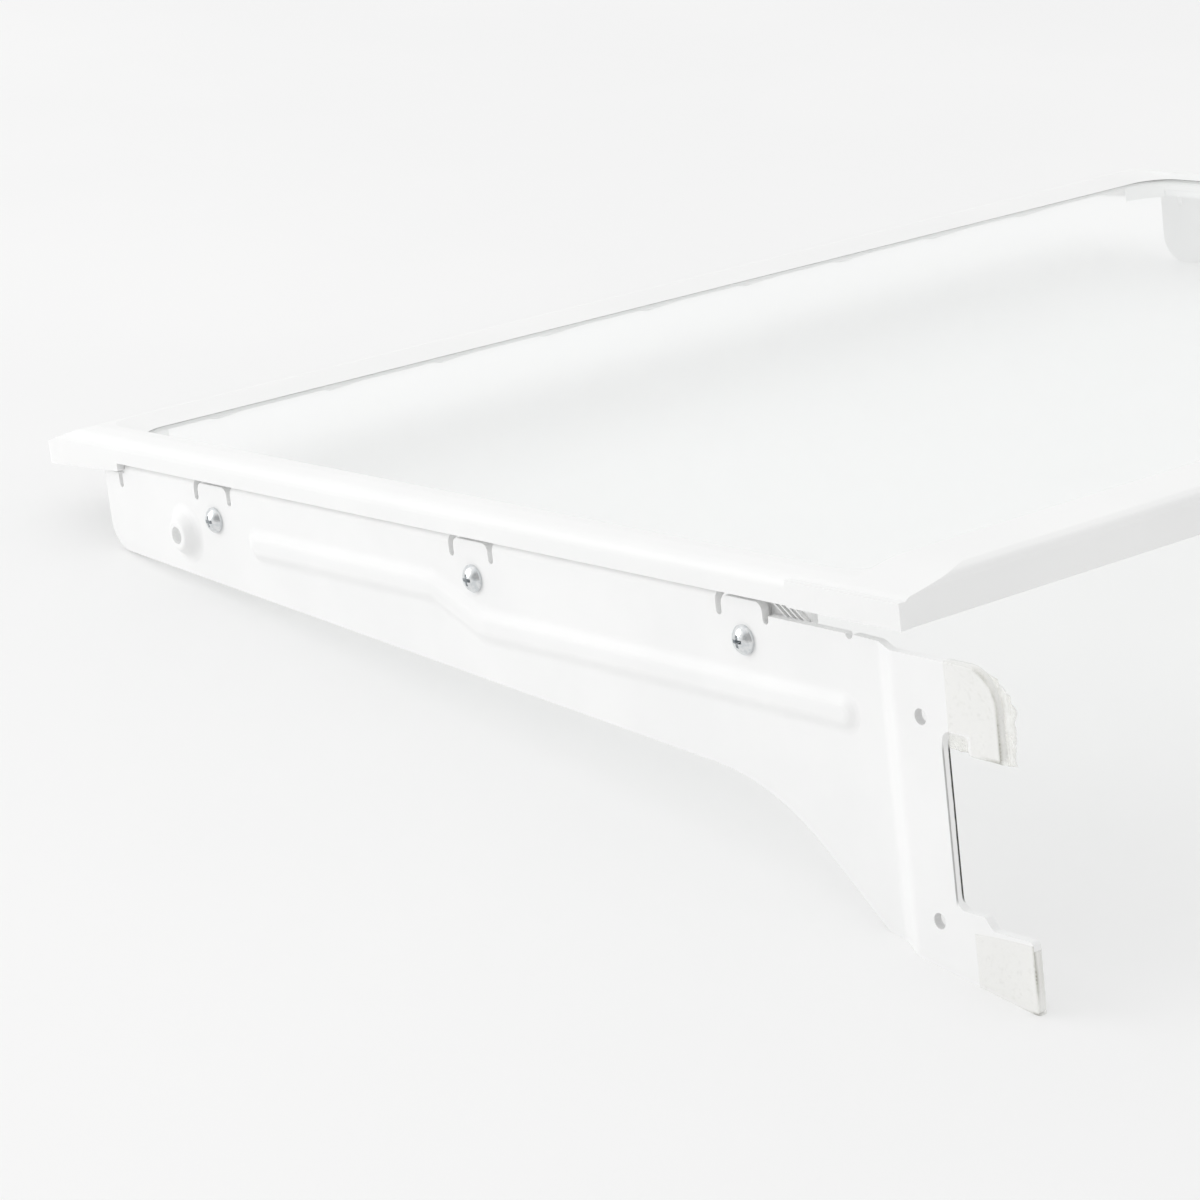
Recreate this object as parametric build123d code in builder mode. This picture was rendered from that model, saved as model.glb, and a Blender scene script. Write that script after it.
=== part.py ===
"""Refrigerator shelf: a glass pane in a moulded frame, carried by two hooked steel brackets."""

import math
import os

from build123d import *

# All sizes are in millimetres and angles in degrees.
# X points right as seen from the cabinet's front, Y to the rear and Z up.
# The origin is midway between the brackets, on the edge that meets the slotted rail, at the hooks' seats.

# Moulded frame, outside
frame_width = 488.0
frame_depth = 434.4
frame_setback = 12.6
frame_base = 23.0
side_height = 7.6
side_round = 4.0
lip_width = 10.0
rear_height = 11.6
rear_depth = 25.0
rear_run_out = 22.0
run_out_round = 40.0
rear_bevel_run = 3.0
rear_bevel_drop = 1.4
rear_edge_rounds = (6.0, 2.5)
front_corner_radius = 9.0
rear_corner_radius = 1.5
pad_length = 44.4
pad_height = 7.2
pad_proud = 1.0

# Front nose of the frame
front_depth = 44.0
nose_height = 6.0
nose_drop = 5.0
nose_rise = 2.3
crest_run = 27.0
crest_height = 8.8
crest_round = 28.0
nose_round = 3.0
nose_step_back = 50.6

# Glass pane and its seat
glass_thickness = 3.2
glass_lap = 6.0
glass_corner_radius = 8.0
glass_clearance = 0.1
glass_edge_clearance = 0.5
seat_depth = 3.2
ledge_lap = 4.0
front_ledge_back = 2.8
ledge_tip = 0.9
ledge_slope = 15.0
lip_draft = 1.4
tray_corner_radius = 12.0

# Hollow underside of the frame
wall = 2.5
rib_thickness = 2.0
cell_count = 10
cell_inset = 14.0

# Bracket sheet and its place
sheet = 2.3
web_inset = 2.0
joggle = 4.0
joggle_length = 8.5
joggle_front = 25.5
joggle_bend = 6.0
flange_width = 12.0
flange_bend = 3.5
flange_clearance = 0.1
flange_front_clearance = 0.4

# Bracket outline
nose_lap = 12.2
front_edge_drop = 6.4
bottom_slope = 3.64
front_corner_round = 10.0
gusset_start = 73.0
gusset_angle = 38.4
gusset_round = 77.0
web_top = 18.2
front_tab_top = 19.2
slot_width = 2.3
slot_bottom = 15.8
front_slot_bottom = 14.4
front_slot_offset = 9.0
tab_width = 17.0
tab_gap = 1.5
tab_round = 2.5
notch_radius = 1.4
notch_offset = 36.7

# Hook plate
hook_height = 18.0
hook_reach = 21.0
hook_round = 10.0
hook_notch = 9.5
hook_drop = 4.8
window_height = 46.5
window_round = 3.0
arm_reach = 10.0
arm_step_run = 2.5
arm_step_drop = 3.1
tab_reach = 26.7
tab_height = 18.7
edge_round = 1.2
plate_hole_radius = 2.1
plate_hole_offset = 7.3
upper_hole_height = 2.3
lower_hole_drop = 51.1

# Bead and dimple pressed into the web
bead_width = 10.4
bead_height = 1.5
bead_slope = 64.0
bead_inset = 90.6
bead_front_height = 5.0
bead_kink_front = 223.0
bead_kink_rear = 200.0
bead_rear = 41.4
bead_rear_height = -3.2
bead_bend = 8.0
dimple_inset = 47.8
dimple_height = 3.9
dimple_base_radius = 8.0
dimple_tip_radius = 4.6
dimple_rise = 4.0
dimple_hole_radius = 2.8
dimple_tip_round = 1.2
press_foot_round = 4.0
press_top_round = 4.0

# Screws and the bosses that take them
rear_screw_offset = 79.6
rear_screw_spacing = 122.5
front_screw_inset = 66.5
screw_height = 10.4
screw_head_radius = 4.1
screw_head_height = 2.9
screw_head_edge = 0.8
screw_radius = 1.95
screw_length = 12.0
thread_clearance = 0.05
screw_hole_clearance = 0.35
recess_width = 1.1
recess_length = 3.7
recess_depth = 1.9
recess_taper = 12.0
boss_width = 14.5
boss_depth = 10.5
boss_below_screw = 6.0
boss_clearance = 0.2
brace_length = 16.5
brace_drop = 11.0
brace_inset = 3.5
brace_wall = 2.2
fin_count = 4
fin_pitch = 2.6
fin_thickness = 0.9
fin_depth = 1.3
fin_drop = 5.0
fin_lean = 7.5

# Clear tape on the hooks
tape = 0.3
hook_tape_start = 3.0
tab_tape_start = 5.5
tape_seam = 5.0

# Places worked out from the sizes above
half_width = frame_width / 2
rear_y = -frame_setback
front_y = rear_y - frame_depth
side_top = frame_base + side_height
rear_top = frame_base + rear_height
crest_top = frame_base + crest_height
glass_bottom = frame_base + seat_depth
glass_top = glass_bottom + glass_thickness
front_inner = front_y + front_depth
rear_inner = rear_y - rear_depth
lip_x = half_width - lip_width
nose_back = front_y + nose_step_back
nose_low = frame_base - nose_drop
lowest = nose_low - wall
tallest = rear_top + wall

crest_y = front_y + crest_run
tray_front = front_inner
tray_rear = rear_inner - lip_draft
tray_width = 2 * (lip_x - lip_draft)
glass_width = 2 * (lip_x + glass_lap)
glass_length = rear_inner - front_inner + 2 * glass_lap
glass_middle = (rear_inner + front_inner) / 2
ledge_x = lip_x - ledge_lap
ledge_rear = rear_inner - ledge_lap
front_ledge_y = front_inner - front_ledge_back
ledge_tip_bottom = glass_bottom - glass_clearance - ledge_tip
ledge_foot_y = front_ledge_y - (ledge_tip_bottom - lowest) / math.tan(math.radians(ledge_slope))
nose_cell_rear = front_inner - glass_lap - glass_edge_clearance - wall
rear_cell_front = rear_inner + glass_lap + glass_edge_clearance + wall

web_x = half_width - web_inset
plate_x = web_x + joggle
web_inner_x = web_x - sheet
bracket_front = nose_back - nose_lap
dimple_y = bracket_front + dimple_inset
bead_front_y = bracket_front + bead_inset
pressed_low = bead_rear_height - bead_width
pressed_high = bead_front_height + bead_width
flange_top = frame_base - flange_clearance
bend_start = flange_top - flange_bend
tab_top = frame_base - tab_gap
tab_bottom = -window_height - arm_step_drop - tab_height
arm_top = -window_height
tab_tape_top = arm_top - arm_step_drop

rear_screw_y = -rear_screw_offset
middle_screw_y = rear_screw_y - rear_screw_spacing
front_screw_y = bracket_front + front_screw_inset
screw_ys = (front_screw_y, middle_screw_y, rear_screw_y)
slot_offset = (tab_width + slot_width) / 2
front_slot_y = bracket_front + front_slot_offset + slot_width / 2
screw_hole_radius = screw_radius + screw_hole_clearance
boss_bore_radius = screw_radius + thread_clearance
boss_outer_x = web_inner_x - boss_clearance
boss_bottom = screw_height - boss_below_screw


def side_plane(x):
    """A plane facing right at the given X, with Y as its first axis and Z as its second."""
    return Plane.YZ.offset(x)


def tape_sleeve(points, radii):
    """A sleeve of tape around the hook plate inside the given outline, open toward the front."""
    front = points[0][0]
    with BuildPart() as sleeve:
        with BuildSketch(side_plane(plate_x - sheet - tape)):
            with BuildLine():
                FilletPolyline(*points, radius=radii, close=True)
            make_face()
            offset(amount=tape)
            with Locations((front - tape, tab_bottom)):
                Rectangle(2 * tape, 4 * window_height, mode=Mode.SUBTRACT)
        extrude(amount=sheet + 2 * tape)
        with BuildSketch(side_plane(plate_x - sheet)):
            with BuildLine():
                FilletPolyline(*points, radius=radii, close=True)
            make_face()
        extrude(amount=sheet, mode=Mode.SUBTRACT)
    return sleeve.part


# Glass pane
with BuildPart() as glass_panel:
    with BuildSketch(Plane.XY.offset(glass_bottom)):
        with Locations((0, glass_middle)):
            RectangleRounded(glass_width, glass_length, glass_corner_radius)
    extrude(amount=glass_thickness)
glass_panel.part.label = "glass_panel"

# Moulded frame
with BuildPart() as shelf_frame:
    # Side view of the whole moulding: the nose, the crest, the lips and the raised rear edge.
    with BuildSketch(Plane.YZ):
        with BuildLine():
            FilletPolyline(
                (front_y, nose_low),
                (front_y, nose_low + nose_height),
                (crest_y, crest_top),
                (rear_inner, crest_top),
                (rear_inner, rear_top),
                (rear_y - rear_bevel_run, rear_top),
                (rear_y, rear_top - rear_bevel_drop),
                (rear_y, frame_base),
                (nose_back, frame_base),
                (nose_back, nose_low + nose_rise),
                radius=(1, nose_round, crest_round, 0, 1, *rear_edge_rounds, 0.5, 0, 0.5),
                close=True,
            )
        make_face()
    extrude(amount=half_width, both=True)

    # Rear view: side walls with a rounded top edge, rising inward to the height of the rear edge.
    with BuildSketch(Plane.XZ):
        with BuildLine():
            FilletPolyline(
                (0, lowest),
                (half_width, lowest),
                (half_width, side_top),
                (half_width - rear_run_out, rear_top),
                (0, rear_top),
                radius=(0, side_round, run_out_round),
            )
            Line((0, rear_top), (0, lowest))
        make_face()
        mirror(about=Plane.YZ)
    extrude(amount=frame_depth + frame_setback, both=True, mode=Mode.INTERSECT)

    # Plan: rounded front corners and nearly square rear ones.
    with BuildSketch(Plane.XY.offset(lowest)):
        with BuildLine():
            FilletPolyline(
                (-half_width, front_y),
                (half_width, front_y),
                (half_width, rear_y),
                (-half_width, rear_y),
                radius=(front_corner_radius, front_corner_radius, rear_corner_radius, rear_corner_radius),
                close=True,
            )
        make_face()
    extrude(amount=tallest - lowest, mode=Mode.INTERSECT)

    # Tray above the pane: drafted lips on three sides and a long ramp up to the crest at the front.
    with BuildSketch(Plane.XY.offset(glass_top)):
        with Locations((0, (tray_front + tray_rear) / 2)):
            RectangleRounded(tray_width, tray_rear - tray_front, tray_corner_radius)
    with BuildSketch(Plane.XY.offset(crest_top)):
        with Locations((0, (crest_y + rear_inner) / 2)):
            RectangleRounded(2 * lip_x, rear_inner - crest_y, tray_corner_radius)
    loft(mode=Mode.SUBTRACT)
    with BuildSketch(Plane.XY.offset(crest_top)):
        with Locations((0, (crest_y + rear_inner) / 2)):
            RectangleRounded(2 * lip_x, rear_inner - crest_y, tray_corner_radius)
    extrude(amount=tallest - crest_top, mode=Mode.SUBTRACT)

    # Groove that holds the pane, and the open middle below it.
    with BuildSketch(Plane.XY.offset(glass_bottom - glass_clearance)):
        with Locations((0, glass_middle)):
            RectangleRounded(
                glass_width + 2 * glass_edge_clearance,
                glass_length + 2 * glass_edge_clearance,
                glass_corner_radius,
            )
    extrude(amount=glass_thickness + 2 * glass_clearance, mode=Mode.SUBTRACT)
    with BuildSketch(Plane.XY.offset(lowest)):
        with Locations((0, (front_ledge_y + ledge_rear) / 2)):
            RectangleRounded(2 * ledge_x, ledge_rear - front_ledge_y, tray_corner_radius)
    extrude(amount=glass_bottom - lowest, mode=Mode.SUBTRACT)

    # Underside that slopes from the front ledge's tip down to the nose.
    with BuildSketch(side_plane(-ledge_x)):
        with BuildLine():
            Polyline(
                (front_ledge_y, lowest),
                (front_ledge_y, ledge_tip_bottom),
                (ledge_foot_y, lowest),
                close=True,
            )
        make_face()
    extrude(amount=2 * ledge_x, mode=Mode.SUBTRACT)

    # Cells under the nose and under the rear edge, with a rib between each two.
    cell_pitch = (frame_width - 2 * cell_inset + rib_thickness) / cell_count
    for cell in range(cell_count):
        cell_start = -half_width + cell_inset + cell * cell_pitch
        with BuildSketch(side_plane(cell_start)):
            with BuildLine():
                Polyline(
                    (front_y + wall, lowest),
                    (front_y + wall, nose_low + nose_height - wall),
                    (crest_y, crest_top - 1.3 * wall),
                    (nose_cell_rear, glass_top - wall / 2),
                    (nose_cell_rear, lowest),
                    close=True,
                )
            make_face()
            with BuildLine():
                Polyline(
                    (rear_cell_front, lowest),
                    (rear_cell_front, side_top - wall),
                    (rear_y - wall, side_top - wall),
                    (rear_y - wall, lowest),
                    close=True,
                )
            make_face()
        extrude(amount=cell_pitch - rib_thickness, mode=Mode.SUBTRACT)

    # Pads that stand proud of the sides at the rear, and the bosses inside each bracket.
    for side in (1, -1):
        pad_x = half_width + (pad_proud - wall) / 2
        with Locations((side * pad_x, rear_y - pad_length / 2, frame_base + pad_height / 2)):
            Box(wall + pad_proud, pad_length, pad_height)
        for screw_y in screw_ys:
            with BuildSketch(side_plane(side * boss_outer_x)):
                with Locations((screw_y, (frame_base + boss_bottom) / 2)):
                    Rectangle(boss_width, frame_base - boss_bottom)
                with Locations((screw_y, screw_height)):
                    Circle(boss_bore_radius, mode=Mode.SUBTRACT)
            extrude(amount=-side * boss_depth)
        # Brace behind the rear boss: a hanging wall with leaning fins on its outer face.
        brace_x = boss_outer_x - brace_inset
        brace_front = rear_screw_y + boss_width / 2
        with BuildSketch(side_plane(side * brace_x)):
            with Locations((brace_front + brace_length / 2, frame_base - brace_drop / 2)):
                Rectangle(brace_length, brace_drop)
        extrude(amount=side * brace_wall)
        for fin in range(fin_count):
            fin_y = brace_front + fin * fin_pitch
            with BuildSketch(side_plane(side * brace_x)):
                with BuildLine():
                    Polyline(
                        (fin_y, frame_base),
                        (fin_y + fin_thickness, frame_base),
                        (fin_y + fin_thickness + fin_lean, frame_base - fin_drop),
                        (fin_y + fin_lean, frame_base - fin_drop),
                        close=True,
                    )
                make_face()
            extrude(amount=side * (brace_wall + fin_depth))
shelf_frame.part.label = "shelf_frame"

# Right bracket
with BuildPart() as right_bracket:
    # Plan of the sheet, with the joggle that carries the hook plate outward.
    with BuildSketch(Plane.XY.offset(tab_bottom)):
        with BuildLine():
            FilletPolyline(
                (web_x, bracket_front),
                (web_x, -joggle_front),
                (plate_x, joggle_length - joggle_front),
                (plate_x, tab_reach),
                (plate_x - sheet, tab_reach),
                (plate_x - sheet, joggle_length - joggle_front),
                (web_inner_x, -joggle_front),
                (web_inner_x, bracket_front),
                radius=(0, joggle_bend, joggle_bend, 0, 0, joggle_bend, joggle_bend, 0),
                close=True,
            )
        make_face()
    extrude(amount=tab_top - tab_bottom)

    # Bead and dimple pressed outward: raised on the outer face, sunk in the inner one, with soft edges.
    for face_x, press_mode, foot_round, top_round in (
        (web_x, Mode.ADD, press_foot_round, press_top_round),
        (web_inner_x, Mode.SUBTRACT, press_top_round, press_foot_round),
    ):
        with BuildSketch(side_plane(face_x)):
            with BuildLine():
                bead_path = FilletPolyline(
                    (bead_front_y, bead_front_height),
                    (-bead_kink_front, bead_front_height),
                    (-bead_kink_rear, bead_rear_height),
                    (-bead_rear, bead_rear_height),
                    radius=(bead_bend, bead_bend),
                )
                offset(bead_path, amount=bead_width / 2, mode=Mode.REPLACE)
            make_face()
        extrude(amount=bead_height, taper=bead_slope, mode=press_mode)
        with BuildSketch(side_plane(face_x)):
            with Locations((dimple_y, dimple_height)):
                Circle(dimple_base_radius)
        with BuildSketch(side_plane(face_x + dimple_rise)):
            with Locations((dimple_y, dimple_height)):
                Circle(dimple_tip_radius)
        loft(mode=press_mode)
        for level, edge_radius in (
            (dimple_rise, dimple_tip_round),
            (bead_height, top_round),
            (0, foot_round),
        ):
            level_edges = right_bracket.edges().filter_by_position(Axis.X, face_x + level, face_x + level)
            fillet(level_edges.filter_by_position(Axis.Z, pressed_low, pressed_high), edge_radius)

    # Side view of the sheet, cut from the plan.
    gusset_start_z = -front_edge_drop - (-bracket_front - gusset_start) * math.tan(math.radians(bottom_slope))
    gusset_end_y = -gusset_start + (gusset_start_z - tab_bottom) / math.tan(math.radians(gusset_angle))
    last_slot_y = rear_screw_y + slot_offset
    with BuildSketch(Plane.YZ):
        with BuildLine():
            FilletPolyline(
                (bracket_front, -front_edge_drop),
                (-gusset_start, gusset_start_z),
                (gusset_end_y, tab_bottom),
                (tab_reach, tab_bottom),
                (tab_reach, tab_tape_top),
                (arm_reach + arm_step_run, tab_tape_top),
                (arm_reach, arm_top),
                (0, arm_top),
                (0, 0),
                (hook_notch, 0),
                (hook_notch, -hook_drop),
                (hook_reach, -hook_drop),
                (hook_reach, hook_height),
                (-joggle_front, hook_height),
                (-joggle_front - joggle_length, web_top),
                (last_slot_y, web_top),
                (last_slot_y, bend_start),
                (front_slot_y, bend_start),
                (front_slot_y, front_tab_top),
                (bracket_front, front_tab_top),
                radius=(
                    front_corner_round,
                    gusset_round,
                    window_round,
                    edge_round,
                    edge_round,
                    edge_round,
                    edge_round,
                    window_round,
                    window_round,
                    edge_round,
                    edge_round,
                    edge_round,
                    hook_round,
                    0,
                    0,
                    0,
                    0,
                    0,
                    0,
                    edge_round,
                ),
                close=True,
            )
        make_face()
        # Upright tabs at the screws, with a relief slot on each side and one behind the front tab.
        for screw_y in screw_ys:
            with Locations((screw_y, (tab_top + slot_bottom) / 2)):
                RectangleRounded(tab_width, tab_top - slot_bottom, tab_round)
        slots = [(front_slot_y, front_slot_bottom)]
        for screw_y in screw_ys:
            slots += [(screw_y - slot_offset, slot_bottom), (screw_y + slot_offset, slot_bottom)]
        for slot_y, slot_end in slots:
            slot_length = tab_top - slot_end + slot_width
            with Locations((slot_y, slot_end + slot_length / 2)):
                SlotOverall(slot_length, slot_width, rotation=90, mode=Mode.SUBTRACT)
        # Round notch in the top edge, the screws' holes and the hook plate's holes.
        with Locations((-notch_offset, web_top)):
            Circle(notch_radius, mode=Mode.SUBTRACT)
        with Locations(*[(screw_y, screw_height) for screw_y in screw_ys]):
            Circle(screw_hole_radius, mode=Mode.SUBTRACT)
        with Locations((-plate_hole_offset, upper_hole_height), (-plate_hole_offset, -lower_hole_drop)):
            Circle(plate_hole_radius, mode=Mode.SUBTRACT)
    extrude(amount=plate_x + sheet, mode=Mode.INTERSECT)

    # Flange folded inward between the slots, under the frame.
    flange_ends = [nose_back + flange_front_clearance]
    for screw_y in screw_ys:
        flange_ends += [screw_y - slot_offset - slot_width / 2, screw_y + slot_offset + slot_width / 2]
    for flange_front, flange_rear in zip(flange_ends[0:6:2], flange_ends[1:6:2]):
        with BuildSketch(Plane.XZ.offset(-flange_front)):
            with BuildLine():
                FilletPolyline(
                    (web_x, bend_start - sheet),
                    (web_x, flange_top),
                    (web_x - flange_width, flange_top),
                    (web_x - flange_width, flange_top - sheet),
                    (web_inner_x, flange_top - sheet),
                    (web_inner_x, bend_start - sheet),
                    radius=(0, flange_bend, 0, 0, flange_bend - sheet, 0),
                    close=True,
                )
            make_face()
        extrude(amount=flange_front - flange_rear)

    # Hole in the dimple's tip.
    with BuildSketch(side_plane(web_inner_x)):
        with Locations((dimple_y, dimple_height)):
            Circle(dimple_hole_radius)
    extrude(amount=sheet + dimple_rise, mode=Mode.SUBTRACT)
right_bracket.part.label = "right_bracket"

# Left bracket, the mirror image
with BuildPart() as left_bracket:
    mirror(right_bracket.part, about=Plane.YZ)
left_bracket.part.label = "left_bracket"

# Pan-head screws with a cross recess, three to a bracket
dome_rise = screw_head_height - screw_head_edge
dome_radius = (dome_rise**2 + screw_head_radius**2) / (2 * dome_rise)
dome_half_angle = math.asin(screw_head_radius / dome_radius) / 2
dome_middle = (
    screw_head_height - dome_radius * (1 - math.cos(dome_half_angle)),
    dome_radius * math.sin(dome_half_angle),
)
with BuildPart() as bracket_screws:
    for side in (1, -1):
        for screw_y in screw_ys:
            seat = Vector(side * web_x, screw_y, screw_height)
            outward = Vector(side, 0, 0)
            with BuildSketch(Plane(origin=seat, x_dir=outward, z_dir=(0, 0, 1))):
                with BuildLine():
                    Polyline(
                        (screw_head_height, 0),
                        (-screw_length, 0),
                        (-screw_length, screw_radius),
                        (0, screw_radius),
                        (0, screw_head_radius),
                        (screw_head_edge, screw_head_radius),
                    )
                    ThreePointArc((screw_head_edge, screw_head_radius), dome_middle, (screw_head_height, 0))
                make_face()
            revolve(axis=Axis(seat, outward))
            top = seat + outward * screw_head_height
            with BuildSketch(Plane(origin=top, x_dir=(0, 1, 0), z_dir=outward)):
                Rectangle(recess_length, recess_width)
                Rectangle(recess_width, recess_length)
            extrude(amount=-recess_depth, taper=recess_taper, mode=Mode.SUBTRACT)
bracket_screws.part.label = "bracket_screws"

# Clear tape around the right hook, with a pinched seam standing off the hook's rear edge
hook_sleeve = tape_sleeve(
    (
        (hook_tape_start, 0),
        (hook_tape_start, hook_height),
        (hook_reach, hook_height),
        (hook_reach, -hook_drop),
        (hook_notch, -hook_drop),
        (hook_notch, 0),
    ),
    (0, 0, hook_round, edge_round, edge_round, edge_round),
)
seam_bottom = edge_round - hook_drop
seam_top = hook_height - hook_round
with BuildPart() as right_hook_tape:
    add(hook_sleeve)
    with BuildSketch(side_plane(plate_x - sheet / 2)):
        with Locations((hook_reach + tape / 2, seam_bottom)):
            Rectangle(tape_seam, seam_top - seam_bottom, align=(Align.MIN, Align.MIN))
    extrude(amount=tape, both=True)
right_hook_tape.part.label = "right_hook_tape"

# Clear tape around the right lower tab
tab_sleeve = tape_sleeve(
    (
        (tab_tape_start, tab_bottom),
        (tab_tape_start, arm_top),
        (arm_reach, arm_top),
        (arm_reach + arm_step_run, tab_tape_top),
        (tab_reach, tab_tape_top),
        (tab_reach, tab_bottom),
    ),
    (0, 0, edge_round, edge_round, edge_round, edge_round),
)
with BuildPart() as right_tab_tape:
    add(tab_sleeve)
right_tab_tape.part.label = "right_tab_tape"

with BuildPart() as left_hook_tape:
    mirror(right_hook_tape.part, about=Plane.YZ)
left_hook_tape.part.label = "left_hook_tape"

with BuildPart() as left_tab_tape:
    mirror(right_tab_tape.part, about=Plane.YZ)
left_tab_tape.part.label = "left_tab_tape"

os.makedirs("parts", exist_ok=True)
export_step(glass_panel.part, "parts/glass_panel.step")
export_step(shelf_frame.part, "parts/shelf_frame.step")
export_step(right_bracket.part, "parts/right_bracket.step")
export_step(left_bracket.part, "parts/left_bracket.step")
export_step(bracket_screws.part, "parts/bracket_screws.step")
export_step(right_hook_tape.part, "parts/right_hook_tape.step")
export_step(right_tab_tape.part, "parts/right_tab_tape.step")
export_step(left_hook_tape.part, "parts/left_hook_tape.step")
export_step(left_tab_tape.part, "parts/left_tab_tape.step")
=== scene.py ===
"""Refrigerator shelf: materials, clear film on the hooks, studio floor, light and camera."""

import math

import bpy
from mathutils import Matrix, Vector, geometry, noise


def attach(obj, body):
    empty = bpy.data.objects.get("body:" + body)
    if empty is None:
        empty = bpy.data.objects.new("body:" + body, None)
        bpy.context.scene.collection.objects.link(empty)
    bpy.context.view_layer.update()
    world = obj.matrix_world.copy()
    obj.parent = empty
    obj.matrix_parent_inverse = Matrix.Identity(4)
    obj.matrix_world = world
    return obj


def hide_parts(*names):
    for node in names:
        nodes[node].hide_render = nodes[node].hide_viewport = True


MM = 0.001

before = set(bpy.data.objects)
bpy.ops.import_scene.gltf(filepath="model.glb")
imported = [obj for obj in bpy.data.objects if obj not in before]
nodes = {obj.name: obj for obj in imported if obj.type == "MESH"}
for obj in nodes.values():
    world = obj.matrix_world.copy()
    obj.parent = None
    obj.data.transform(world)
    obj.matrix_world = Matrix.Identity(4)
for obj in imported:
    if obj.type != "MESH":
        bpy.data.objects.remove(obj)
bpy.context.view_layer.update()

# Places on the brackets, in millimetres, as the solids have them
PLATE_X = 246.0
SHEET = 2.3
HOOK_TOP = 18.0
HOOK_REACH = 21.0
HOOK_ROUND = 10.0
HOOK_DROP = 4.8
NOTCH = 9.5
TAB_TOP = -49.6
TAB_BOTTOM = -68.3
TAB_REACH = 26.7
ARM_TOP = -46.5
ARM_REACH = 10.0
STEP_RUN = 2.5
HOLE_OFFSET = 7.3
HOLE_RADIUS = 2.1
UPPER_HOLE = 2.3
LOWER_HOLE = -51.1

# Dark lines along the window's upright edges, worn paint on the inner edge and worn paint with painted shade
# of the rounded edge on the outer one: where they fade out, how wide and strong they are, and how dark the
# painted shade on the hole walls is
WEAR_AND_SHADE_TOP = (-6.0, -2.5)
WEAR_AND_SHADE_BOTTOM = (-46.0, -43.5)
INNER_WEAR_WIDTH = 0.62
OUTER_WEAR_AND_SHADE_WIDTH = 0.36
OUTER_WEAR_AND_SHADE = 0.55
HOLE_SHADE = 0.2


class Shader:
    """A node material with one Principled shader and short calls to add nodes to it."""

    def __init__(self, name):
        self.material = bpy.data.materials.new(name)
        self.material.use_nodes = True
        self.tree = self.material.node_tree
        self.tree.nodes.clear()
        self.out = self.add("ShaderNodeOutputMaterial")
        self.surface = self.add("ShaderNodeBsdfPrincipled")
        self.link(self.surface.outputs["BSDF"], self.out.inputs["Surface"])
        self.place = self.add("ShaderNodeTexCoord").outputs["Object"]

    def add(self, kind, **settings):
        made = self.tree.nodes.new(kind)
        for key, value in settings.items():
            setattr(made, key, value)
        return made

    def link(self, source, target):
        self.tree.links.new(source, target)

    def set(self, name, value):
        if isinstance(value, bpy.types.NodeSocket):
            self.link(value, self.surface.inputs[name])
        else:
            self.surface.inputs[name].default_value = value

    def math(self, operation, first, second=None, third=None, clamp=False):
        made = self.add("ShaderNodeMath", operation=operation, use_clamp=clamp)
        for index, value in enumerate((first, second, third)):
            if isinstance(value, bpy.types.NodeSocket):
                self.link(value, made.inputs[index])
            elif value is not None:
                made.inputs[index].default_value = value
        return made.outputs[0]

    def noise(self, scale, detail=2.0, stretch=None):
        made = self.add("ShaderNodeTexNoise")
        made.inputs["Scale"].default_value = scale
        made.inputs["Detail"].default_value = detail
        place = self.place
        if stretch:
            mapping = self.add("ShaderNodeMapping")
            mapping.inputs["Scale"].default_value = stretch
            self.link(place, mapping.inputs["Vector"])
            place = mapping.outputs["Vector"]
        self.link(place, made.inputs["Vector"])
        return made.outputs["Fac"]

    def range(self, value, low, high, new_low, new_high):
        made = self.add("ShaderNodeMapRange", interpolation_type="SMOOTHSTEP")
        self.link(value, made.inputs["Value"])
        limits = {"From Min": low, "From Max": high, "To Min": new_low, "To Max": new_high}
        for name, number in limits.items():
            made.inputs[name].default_value = number
        return made.outputs["Result"]

    def blend(self, factor, first, second):
        made = self.add("ShaderNodeMix", data_type="RGBA")
        self.link(factor, made.inputs["Factor"])
        for name, value in (("A", first), ("B", second)):
            socket = [s for s in made.inputs if s.name == name and s.type == "RGBA"][0]
            if isinstance(value, bpy.types.NodeSocket):
                self.link(value, socket)
            else:
                socket.default_value = (*value, 1.0)
        return [s for s in made.outputs if s.type == "RGBA"][0]

    def axes(self):
        made = self.add("ShaderNodeSeparateXYZ")
        self.link(self.place, made.inputs[0])
        return made.outputs["X"], made.outputs["Y"], made.outputs["Z"]

    def bump(self, height, depth, strength=1.0, under=None):
        made = self.add("ShaderNodeBump")
        made.inputs["Strength"].default_value = strength
        made.inputs["Distance"].default_value = depth
        self.link(height, made.inputs["Height"])
        if under is not None:
            self.link(under, made.inputs["Normal"])
        return made.outputs["Normal"]


def frame_plastic():
    """White moulded plastic: a fine moulded skin, slow sink marks, and faint rubbed streaks."""
    s = Shader("frame_plastic_white")
    tone = s.range(s.noise(18.0, 3.0), 0.35, 0.68, 0.0, 1.0)
    colour = s.blend(tone, (0.895, 0.898, 0.894), (0.914, 0.916, 0.911))
    streak = s.range(s.noise(1.0, 4.0, (30.0, 700.0, 300.0)), 0.60, 0.74, 0.0, 1.0)
    rub = s.math("MULTIPLY", streak, s.range(s.noise(40.0, 2.0), 0.45, 0.65, 0.0, 1.0))
    s.set("Base Color", s.blend(s.math("MULTIPLY", rub, 0.3), colour, (0.870, 0.872, 0.865)))
    gloss = s.range(s.noise(75.0, 3.0), 0.3, 0.7, 0.40, 0.46)
    s.set("Roughness", s.math("MULTIPLY_ADD", rub, 0.06, gloss))
    sink = s.bump(s.noise(26.0, 1.0), 0.00035, 0.15)
    s.set("Normal", s.bump(s.noise(650.0, 1.0), 0.00002, 0.08, sink))
    s.set("IOR", 1.49)
    return s.material


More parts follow.
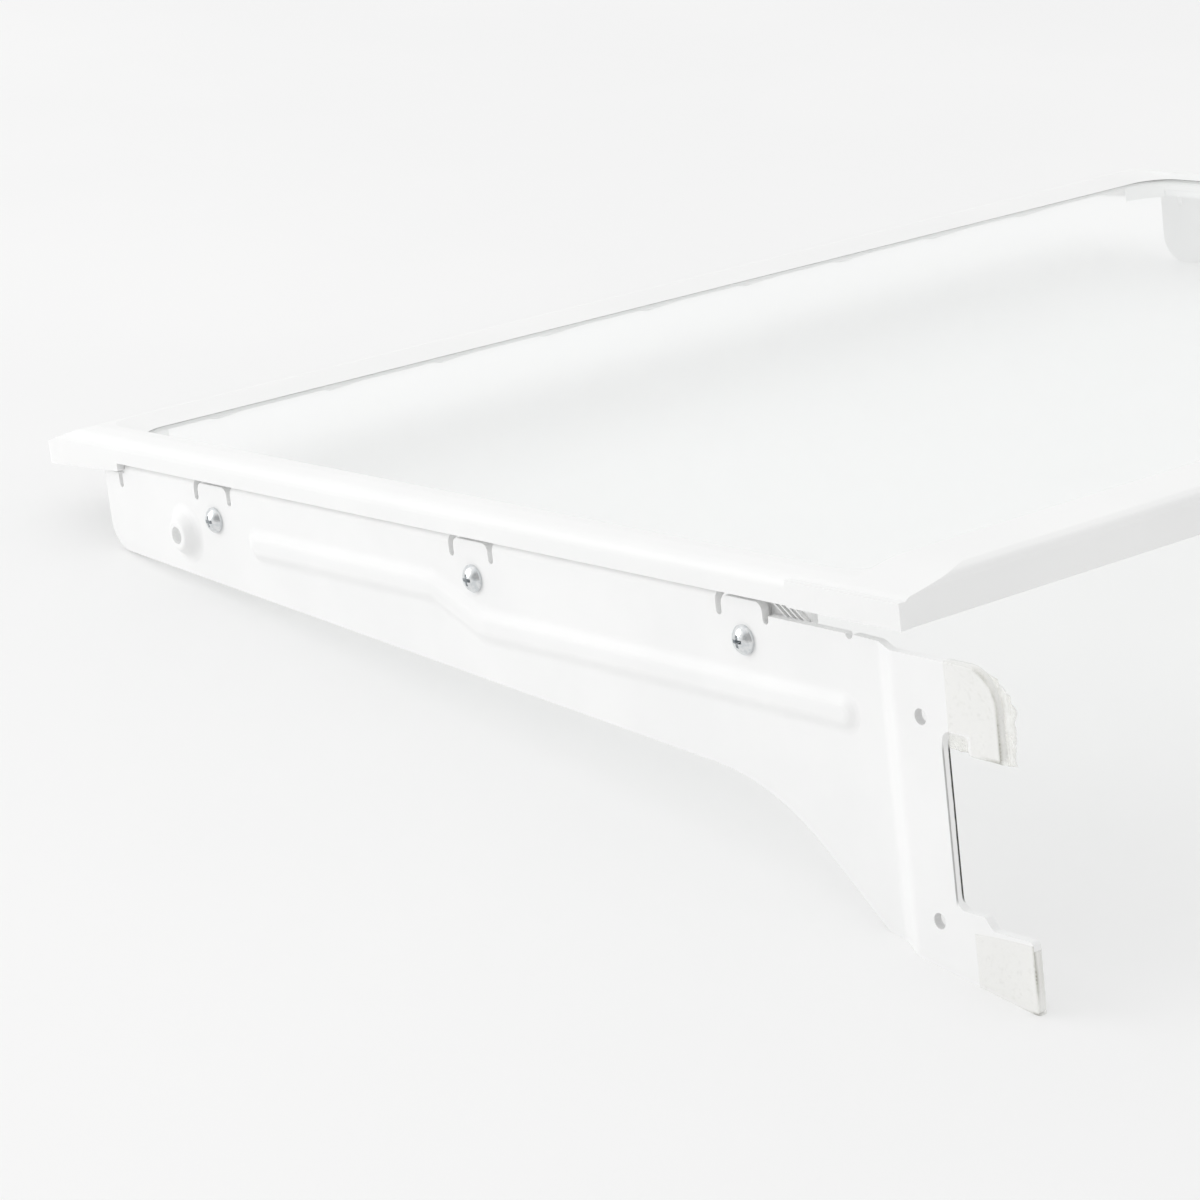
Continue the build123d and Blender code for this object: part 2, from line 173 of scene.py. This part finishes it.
def bracket_paint():
    """White powder coat with a soft orange peel, rubbed to dark steel at the window, with painted shade added
    along the window's outer edge and on the walls of the holes.
    """
    s = Shader("bracket_powder_coat")
    x, y, z = s.axes()
    side = s.math("ABSOLUTE", x)
    tone = s.range(s.noise(24.0, 3.0), 0.35, 0.68, 0.0, 1.0)
    colour = s.blend(tone, (0.892, 0.894, 0.892), (0.918, 0.919, 0.916))

    def edge_line(edge_x, width):
        """A broken dark line along an upright edge of the window between hook and tab: worn paint, and on the
        outer edge also painted shade.
        """
        across = s.math("SUBTRACT", side, edge_x * MM)
        far = s.math("SQRT", s.math("ADD", s.math("POWER", across, 2.0), s.math("POWER", y, 2.0)))
        wander = s.math("MULTIPLY_ADD", s.noise(420.0, 3.0), 0.5 * width * MM, 0.7 * width * MM)
        near = s.math("DIVIDE", far, wander)
        line = s.range(near, 0.75, 1.15, 1.0, 0.0)
        top = s.range(z, WEAR_AND_SHADE_TOP[0] * MM, WEAR_AND_SHADE_TOP[1] * MM, 1.0, 0.0)
        bottom = s.range(z, WEAR_AND_SHADE_BOTTOM[0] * MM, WEAR_AND_SHADE_BOTTOM[1] * MM, 0.0, 1.0)
        return s.math("MULTIPLY", line, s.math("MULTIPLY", top, bottom))

    def bore(height):
        """Painted shade on the wall of a hole in the hook plate, darkening the bore where it lies in shade.
        """
        along = s.math("ADD", y, HOLE_OFFSET * MM)
        rise = s.math("SUBTRACT", z, height * MM)
        far = s.math("SQRT", s.math("ADD", s.math("POWER", along, 2.0), s.math("POWER", rise, 2.0)))
        return s.range(far, (HOLE_RADIUS + 0.02) * MM, (HOLE_RADIUS + 0.12) * MM, 1.0, 0.0)

    inner = edge_line(PLATE_X - SHEET, INNER_WEAR_WIDTH)
    # The outer line is partly worn paint and partly painted shade where the edge rounds away from the light.
    outer = s.math("MULTIPLY", edge_line(PLATE_X, OUTER_WEAR_AND_SHADE_WIDTH), OUTER_WEAR_AND_SHADE)
    # Painted shade on the walls of the two holes.
    holes = s.math("MULTIPLY", s.math("MAXIMUM", bore(UPPER_HOLE), bore(LOWER_HOLE)), HOLE_SHADE)
    # Worn paint at the window, plus painted shade on the outer edge and on the hole walls, all in one dark
    # mask.
    wear_and_shade = s.math("MAXIMUM", s.math("MAXIMUM", inner, outer), holes)
    s.set("Base Color", s.blend(wear_and_shade, colour, (0.045, 0.044, 0.042)))
    s.set("Roughness", s.range(s.noise(90.0, 3.0), 0.3, 0.7, 0.47, 0.54))
    s.set("Normal", s.bump(s.noise(360.0, 1.0), 0.00003, 0.08))
    s.set("IOR", 1.5)
    return s.material


def screw_zinc():
    """Bright zinc plate with a fine grain and a slight blue passivation."""
    s = Shader("screw_zinc_plate")
    tone = s.range(s.noise(900.0, 3.0), 0.35, 0.65, 0.0, 1.0)
    s.set("Base Color", s.blend(tone, (0.66, 0.685, 0.70), (0.77, 0.78, 0.785)))
    s.set("Metallic", 1.0)
    s.set("Roughness", s.range(s.noise(700.0, 2.0), 0.3, 0.7, 0.16, 0.24))
    s.set("Normal", s.bump(s.noise(800.0, 1.0), 0.00002, 0.08))
    return s.material


def shelf_glass():
    """Clear float glass, faintly green in depth, with a light bloom of wiping marks on its faces."""
    s = Shader("shelf_glass_clear")
    s.set("Base Color", (0.995, 0.999, 0.997, 1.0))
    s.set("Transmission Weight", 1.0)
    s.set("IOR", 1.5)
    wipe = s.range(s.noise(1.0, 4.0, (14.0, 60.0, 14.0)), 0.5, 0.8, 0.0, 0.035)
    s.set("Roughness", wipe)
    clear = s.add("ShaderNodeBsdfTransparent")
    clear.inputs["Color"].default_value = (0.992, 0.995, 0.993, 1.0)
    path = s.add("ShaderNodeLightPath")
    shader = s.surface.outputs["BSDF"]
    for ray in ("Is Diffuse Ray", "Is Shadow Ray"):
        mix = s.add("ShaderNodeMixShader")
        s.link(path.outputs[ray], mix.inputs["Fac"])
        s.link(shader, mix.inputs[1])
        s.link(clear.outputs["BSDF"], mix.inputs[2])
        shader = mix.outputs["Shader"]
    s.link(shader, s.out.inputs["Surface"])
    depth = s.add("ShaderNodeVolumeAbsorption")
    depth.inputs["Color"].default_value = (0.70, 0.93, 0.84, 1.0)
    depth.inputs["Density"].default_value = 4.0
    s.link(depth.outputs["Volume"], s.out.inputs["Volume"])
    return s.material


def tape_film():
    """Clear tape gone slightly yellow: thin on the steel, milky in creases, dark where dirt has crept in and
    with painted shade along the steel's edge.
    """
    s = Shader("tape_film_clear")
    dirt_and_shade = s.add("ShaderNodeAttribute", attribute_name="film_dirt_and_shade").outputs["Fac"]
    fold = s.add("ShaderNodeAttribute", attribute_name="film_fold").outputs["Fac"]
    speck = s.range(s.noise(900.0, 4.0), 0.56, 0.70, 0.0, 1.0)
    # Specks, dirt and the painted shade along the steel's edge darken the film together.
    stain_and_shade = s.math("MULTIPLY_ADD", speck, 0.10, dirt_and_shade, clamp=True)
    milk = s.blend(fold, (0.80, 0.79, 0.70), (0.92, 0.92, 0.89))
    s.set("Base Color", s.blend(stain_and_shade, milk, (0.085, 0.080, 0.050)))
    cover = s.math("MULTIPLY_ADD", fold, 0.28, 0.11)
    s.set("Alpha", s.math("MULTIPLY_ADD", stain_and_shade, 0.66, cover, clamp=True))
    s.set("Roughness", s.range(s.noise(260.0, 2.0), 0.3, 0.7, 0.08, 0.2))
    s.set("Normal", s.bump(s.noise(520.0, 3.0), 0.00012, 0.4))
    s.set("IOR", 1.48)
    return s.material


materials = {
    "shelf_frame": frame_plastic(),
    "right_bracket": bracket_paint(),
    "bracket_screws": screw_zinc(),
    "glass_panel": shelf_glass(),
}
materials["left_bracket"] = materials["right_bracket"]
for name, material in materials.items():
    data = nodes[name].data
    data.materials.clear()
    data.materials.append(material)
film_material = tape_film()


# Film on the hooks and tabs. Outlines are (Y, Z), and lengths are in millimetres.
FILM_STEP = 0.5
RIM_SPACE = 0.45 * FILM_STEP
LOOSE_RUN = 3.0
JOIN_RUN = 1.4
NOTCH_RUN = 0.8
NOTCH_SKIN = 0.15
LIFT = 0.07
RIPPLE_LIFT = 0.10
RIPPLE_FADE = 5.0
LOOSE_LIFT = 0.05
BAND_PLACE = 0.35

# Crumple of the film: its rates along Y and Z, per millimetre, and how far it sways and folds
RIPPLE_RATE = (0.55, 0.55)
CRUMPLE_RATE = (0.42, 0.30)
CREASE_RATE = (0.5, 0.28)
STREAK_RATE = (0.5, 0.12)
CRUMPLE_SWAY = 0.9
CREASE_SWAY = 0.45
FOLD_BASE = 0.35
FOLD_CREASE = 0.8
NOTCH_CLEAR = 0.3

# Dirt and painted shade under the film: a dark line along the steel's edge that is dirt and painted shade of
# the edge, a fainter dirt line in the loose film, and a dirt hem at the notch
DIRT_AND_SHADE_START = 12.0
DIRT_AND_SHADE_RUN = 4.0
STREAK_MEAN = 0.75
STREAK_SPREAD = 0.9
EDGE_DIRT_AND_SHADE_OFF = 0.1
EDGE_DIRT_AND_SHADE_WIDTH = 0.4
LOOSE_DIRT_OFF = 2.3
LOOSE_DIRT_WIDTH = 0.45
LOOSE_DIRT = 0.4
HEM_WIDTH = 0.22
HEM_DIRT = 0.25
OUTER_DIRT_AND_SHADE = 0.65
INNER_DIRT_AND_SHADE = 0.3
BAND_DIRT_AND_SHADE = 0.12


def inside(point, outline):
    """True if the point lies inside the outline."""
    hit = False
    for (ay, az), (by, bz) in zip(outline, outline[1:] + outline[:1]):
        if (az > point[1]) != (bz > point[1]) and point[0] < (by - ay) * (point[1] - az) / (bz - az) + ay:
            hit = not hit
    return hit


def distance(point, outline):
    """Distance from the point to the outline's nearest edge."""
    best = 1e9
    p = Vector(point)
    for a, b in zip(outline, outline[1:] + outline[:1]):
        a, b = Vector(a), Vector(b)
        run = b - a
        t = max(0.0, min(1.0, (p - a).dot(run) / run.length_squared))
        best = min(best, (a + run * t - p).length)
    return best


def smooth(value):
    """An eased step from 0 to 1."""
    value = max(0.0, min(1.0, value))
    return value * value * (3 - 2 * value)


def grain(point, rate, seed):
    """Smooth noise at the point, with the given rates along Y and Z."""
    return noise.noise(Vector((point.x * rate[0], point.y * rate[1], seed)))


def divide(outline, step):
    """The outline with points no further apart than the step."""
    made = []
    for a, b in zip(outline, outline[1:] + outline[:1]):
        a, b = Vector(a), Vector(b)
        count = max(1, math.ceil((b - a).length / step))
        made += [tuple(a.lerp(b, i / count)) for i in range(count)]
    return made


def film(name, side, steel, cover, open_edge, spans_notch, crease, seed):
    """Two skins of film, one on each face of the steel, that meet where they pass its edge."""
    rim = divide(cover, FILM_STEP)
    low_y, low_z = (min(p[i] for p in cover) for i in (0, 1))
    high_y, high_z = (max(p[i] for p in cover) for i in (0, 1))
    flat = [Vector(p) for p in rim]
    for row in range(1, math.ceil((high_z - low_z) / FILM_STEP)):
        for column in range(1, math.ceil((high_y - low_y) / FILM_STEP)):
            p = (low_y + (column + 0.5 * (row % 2)) * FILM_STEP, low_z + row * FILM_STEP)
            if inside(p, cover) and distance(p, cover) > RIM_SPACE:
                flat.append(Vector(p))
    edges = [(i, (i + 1) % len(rim)) for i in range(len(rim))]
    points, _, faces, _, _, _ = geometry.delaunay_2d_cdt(flat, edges, [], 1, 1e-6)
    middle = PLATE_X - SHEET / 2
    half = SHEET / 2
    skins = {1: [], -1: []}
    dirt_and_shade, fold = [], []
    for p in points:
        near = distance(p, steel)
        off = 0.0 if inside(p, steel) else near
        ripple = grain(p, RIPPLE_RATE, seed)
        crumple = grain(p, CRUMPLE_RATE, seed + 7.0)
        sharp = 1.0 - 2.0 * abs(grain(p, CREASE_RATE, seed + 3.0))
        loose = smooth(off / LOOSE_RUN)
        sway = crease * loose * (CRUMPLE_SWAY * crumple + CREASE_SWAY * sharp)
        centre = middle + sway - (half - NOTCH_SKIN) * smooth(off / NOTCH_RUN) * spans_notch(p)
        spread = half * (1.0 - smooth(off / JOIN_RUN))
        lift = LIFT + RIPPLE_LIFT * max(0.0, ripple) * smooth(1.0 - near / RIPPLE_FADE) + LOOSE_LIFT * loose
        for face in skins:
            skins[face].append((side * (centre + face * (spread + lift)) * MM, p.x * MM, p.y * MM))
        rear = smooth((p.x - DIRT_AND_SHADE_START) / DIRT_AND_SHADE_RUN)
        streak = STREAK_MEAN + STREAK_SPREAD * grain(p, STREAK_RATE, seed + 5.0)
        past_edge = off if off else -near
        lines = math.exp(-((past_edge - EDGE_DIRT_AND_SHADE_OFF) / EDGE_DIRT_AND_SHADE_WIDTH) ** 2)
        lines += LOOSE_DIRT * crease * math.exp(-((off - LOOSE_DIRT_OFF) / LOOSE_DIRT_WIDTH) ** 2)
        hem = spans_notch(p) * math.exp(-(distance(p, cover) / HEM_WIDTH) ** 2)
        # Dark line along the steel's edge: dirt and painted shade of the edge together.
        dirt_and_shade.append(max(0.0, min(1.0, OUTER_DIRT_AND_SHADE * rear * lines * streak + HEM_DIRT * hem)))
        creased = max(0.0, min(1.0, loose * (FOLD_BASE + FOLD_CREASE * max(0.0, sharp))))
        fold.append(creased - NOTCH_CLEAR * spans_notch(p))
    count = len(points)
    polygons = [tuple(f) for f in faces] + [tuple(count + i for i in reversed(f)) for f in faces]
    uses = {}
    for f in faces:
        for a, b in zip(f, list(f[1:]) + [f[0]]):
            uses[frozenset((a, b))] = uses.get(frozenset((a, b)), []) + [(a, b)]
    # Band across the steel's cut edge, clean past a dark line of dirt and painted shade along the outer face.
    band = {}
    for shared in uses.values():
        a, b = shared[0]
        if len(shared) == 1 and not open_edge((points[a] + points[b]) / 2):
            for i in (a, b):
                band.setdefault(i, 2 * count + len(band))
            polygons.append((b, a, band[a], band[b]))
            polygons.append((band[b], band[a], count + a, count + b))
    between = [tuple(Vector(skins[1][i]).lerp(Vector(skins[-1][i]), BAND_PLACE)) for i in band]
    mesh = bpy.data.meshes.new(name)
    mesh.from_pydata(skins[1] + skins[-1] + between, [], polygons)
    inner_dirt_and_shade = [INNER_DIRT_AND_SHADE * value for value in dirt_and_shade]
    band_dirt_and_shade = [BAND_DIRT_AND_SHADE * dirt_and_shade[i] for i in band]
    values = {"film_dirt_and_shade": dirt_and_shade + inner_dirt_and_shade + band_dirt_and_shade, "film_fold": fold + fold + [fold[i] for i in band]}
    for label, numbers in values.items():
        attribute = mesh.attributes.new(label, "FLOAT", "POINT")
        attribute.data.foreach_set("value", numbers)
    if side < 0:
        mesh.flip_normals()
    mesh.update()
    mesh.shade_smooth()
    mesh.materials.append(film_material)
    made = bpy.data.objects.new(name, mesh)
    bpy.context.scene.collection.objects.link(made)
    return made


# The steel under the film, from a line in front of the film's edge, and the film's own outlines
STEEL_FRONT = -8.0
HOOK_OPEN_EDGE = 3.3
TAB_OPEN_EDGE = 5.8
TAB_OPEN_TOP = -51.7
NOTCH_FILM_TOP = 0.3
NOTCH_FILM_REAR = NOTCH + 1.0

arc = [
    (
        HOOK_REACH - HOOK_ROUND + HOOK_ROUND * math.sin(math.radians(turn)),
        HOOK_TOP - HOOK_ROUND + HOOK_ROUND * math.cos(math.radians(turn)),
    )
    for turn in range(0, 91, 15)
]
hook_steel = [(STEEL_FRONT, HOOK_TOP)] + arc
hook_steel += [(HOOK_REACH, -HOOK_DROP), (NOTCH, -HOOK_DROP), (NOTCH, 0.0), (0.0, 0.0), (STEEL_FRONT, 0.0)]
hook_cover = [
    (3.1, 18.25), (11.2, 18.3), (15.4, 18.1), (18.6, 16.9), (21.4, 15.6), (24.2, 13.3), (25.9, 11.4),
    (26.8, 8.8), (26.2, 5.4), (26.6, 1.6), (25.3, -1.8), (25.6, -5.2), (22.4, -5.5), (15.5, -5.2),
    (9.4, -5.3), (0.5, -4.7), (0.4, -0.4), (2.7, -0.35), (2.9, 8.0),
]
tab_steel = [
    (STEEL_FRONT, TAB_BOTTOM), (STEEL_FRONT, ARM_TOP), (ARM_REACH, ARM_TOP), (ARM_REACH + STEP_RUN, TAB_TOP),
    (TAB_REACH, TAB_TOP), (TAB_REACH, TAB_BOTTOM),
]
tab_cover = [
    (5.5, -68.55), (5.7, -60.0), (5.6, -51.6), (14.0, -51.0), (22.0, -50.6), (26.85, -50.5),
    (27.0, -58.0), (26.95, -68.5), (16.0, -68.6),
]


def in_notch(p):
    """1 where the hook film spans the notch and lies toward the inner face, 0 elsewhere."""
    return 1.0 if p.y < NOTCH_FILM_TOP and p.x < NOTCH_FILM_REAR else 0.0


def never(p):
    """For film that spans no notch."""
    return 0.0


def hook_front(p):
    """True along the hook film's open front edge."""
    return p.x < HOOK_OPEN_EDGE


def tab_front(p):
    """True along the tab film's open front and top edges."""
    return p.x < TAB_OPEN_EDGE or p.y > TAB_OPEN_TOP


for side, word in ((1, "right"), (-1, "left")):
    hook = film(
        f"{word}_hook_film", side, hook_steel, hook_cover, hook_front, in_notch, crease=1.0, seed=11.0 + side
    )
    tab = film(
        f"{word}_tab_film", side, tab_steel, tab_cover, tab_front, never, crease=0.15, seed=23.0 + side
    )
    for piece, node in ((hook, f"{word}_hook_tape"), (tab, f"{word}_tab_tape")):
        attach(piece, "root")
        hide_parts(node)


# Floor: a pale board. The shelf lies on its tabs and on the brackets' front corners, so the board leans.
FLOOR_SLOPE = -0.1435
FLOOR_UNDER_TAB = -68.75
FLOOR_POINT = Vector((0.0, TAB_REACH * MM, FLOOR_UNDER_TAB * MM))
FLOOR_HALF = 14.0
FLOOR_OWN_SHARE = 0.30
FLOOR_OWN_LEVEL = 1.06


def floor_material():
    """A pale board that keeps a soft shadow: part of its white is its own for what the camera sees."""
    s = Shader("floor_pale")
    tone = s.range(s.noise(3.0, 4.0), 0.35, 0.65, 0.0, 1.0)
    colour = s.blend(tone, (0.892, 0.893, 0.892), (0.908, 0.908, 0.906))
    s.set("Base Color", colour)
    s.set("Roughness", s.range(s.noise(30.0, 3.0), 0.3, 0.7, 0.55, 0.7))
    s.set("Specular IOR Level", 0.2)
    path = s.add("ShaderNodeLightPath")
    seen = s.math("MAXIMUM", path.outputs["Is Camera Ray"], path.outputs["Is Glossy Ray"])
    seen = s.math("MAXIMUM", seen, path.outputs["Is Transmission Ray"])
    own = s.add("ShaderNodeEmission")
    s.link(colour, own.inputs["Color"])
    own.inputs["Strength"].default_value = FLOOR_OWN_LEVEL
    clear = s.add("ShaderNodeBsdfTransparent")
    below = s.add("ShaderNodeNewGeometry").outputs["Backfacing"]
    shader = s.surface.outputs["BSDF"]
    own_share = s.math("MULTIPLY", seen, FLOOR_OWN_SHARE)
    for factor, other in ((own_share, own.outputs["Emission"]), (below, clear.outputs["BSDF"])):
        mix = s.add("ShaderNodeMixShader")
        s.link(factor, mix.inputs["Fac"])
        s.link(shader, mix.inputs[1])
        s.link(other, mix.inputs[2])
        shader = mix.outputs["Shader"]
    s.link(shader, s.out.inputs["Surface"])
    return s.material


floor_mesh = bpy.data.meshes.new("floor")
corners = []
for cx, cy in ((-1, -1), (1, -1), (1, 1), (-1, 1)):
    corner_y = cy * FLOOR_HALF
    corners.append((cx * FLOOR_HALF, corner_y, FLOOR_POINT.z + FLOOR_SLOPE * (corner_y - FLOOR_POINT.y)))
floor_mesh.from_pydata(corners, [], [(0, 1, 2, 3)])
floor_mesh.materials.append(floor_material())
floor = bpy.data.objects.new("floor", floor_mesh)
bpy.context.scene.collection.objects.link(floor)

# Light: a bright room with a dim corner beside the camera, and a soft lamp at the right front.
ROOM_LEVEL = 0.97
ROOM_TILT = (0.06, -0.06, 0.0)
DIM_TOWARD = (0.85, 0.45, 0.20)
DIM_DEPTH = 0.5
DIM_EDGE = 0.79
DIM_CORE = 0.96
LAMP_PLACE = (1.60, -1.40, 0.78)
LAMP_AIM = (0.05, -0.20, 0.0)
LAMP_SIZE = 1.4
LAMP_POWER = 9.8

world = bpy.data.worlds.new("studio")
bpy.context.scene.world = world
world.use_nodes = True
tree = world.node_tree
tree.nodes.clear()
sky = tree.nodes.new("ShaderNodeBackground")
world_out = tree.nodes.new("ShaderNodeOutputWorld")
tree.links.new(sky.outputs["Background"], world_out.inputs["Surface"])
direction = tree.nodes.new("ShaderNodeTexCoord").outputs["Generated"]


def along(vector):
    """The view direction's share along the vector."""
    made = tree.nodes.new("ShaderNodeVectorMath")
    made.operation = "DOT_PRODUCT"
    tree.links.new(direction, made.inputs[0])
    made.inputs[1].default_value = vector
    return made.outputs["Value"]


dim = tree.nodes.new("ShaderNodeMapRange")
dim.interpolation_type = "SMOOTHSTEP"
tree.links.new(along(Vector(DIM_TOWARD).normalized()), dim.inputs["Value"])
dim_limits = {
    "From Min": DIM_EDGE,
    "From Max": DIM_CORE,
    "To Min": ROOM_LEVEL,
    "To Max": ROOM_LEVEL - DIM_DEPTH,
}
for name, number in dim_limits.items():
    dim.inputs[name].default_value = number
level = tree.nodes.new("ShaderNodeMath")
level.operation = "ADD"
tree.links.new(along(ROOM_TILT), level.inputs[0])
tree.links.new(dim.outputs["Result"], level.inputs[1])
tree.links.new(level.outputs[0], sky.inputs["Color"])

lamp_data = bpy.data.lights.new("lamp", "AREA")
lamp_data.shape = "DISK"
lamp_data.size = LAMP_SIZE
lamp_data.energy = LAMP_POWER
lamp = bpy.data.objects.new("lamp", lamp_data)
lamp.location = LAMP_PLACE
lamp.rotation_mode = "QUATERNION"
lamp.rotation_quaternion = (Vector(LAMP_PLACE) - Vector(LAMP_AIM)).to_track_quat("Z", "Y")
lamp.visible_camera = False
bpy.context.scene.collection.objects.link(lamp)

# Camera at the photograph's place
CAMERA_PLACE = (853.7, 715.0, 283.5)
CAMERA_RIGHT = (-0.7917, 0.6006, -0.1120)
CAMERA_BACK = (0.5627, 0.7881, 0.2494)
CAMERA_SENSOR = 36.0
CAMERA_LENS = 119.67

camera_data = bpy.data.cameras.new("camera")
camera_data.sensor_width = CAMERA_SENSOR
camera_data.lens = CAMERA_LENS
camera_data.clip_start = 0.05
camera_data.clip_end = 60.0
camera = bpy.data.objects.new("camera", camera_data)
right = Vector(CAMERA_RIGHT).normalized()
back = Vector(CAMERA_BACK)
back = (back - right * back.dot(right)).normalized()
up = back.cross(right)
place = Matrix((right, up, back)).transposed().to_4x4()
place.translation = Vector(CAMERA_PLACE) * MM
camera.matrix_world = place
bpy.context.scene.collection.objects.link(camera)
bpy.context.scene.camera = camera

bpy.context.scene.view_settings.view_transform = "Standard"
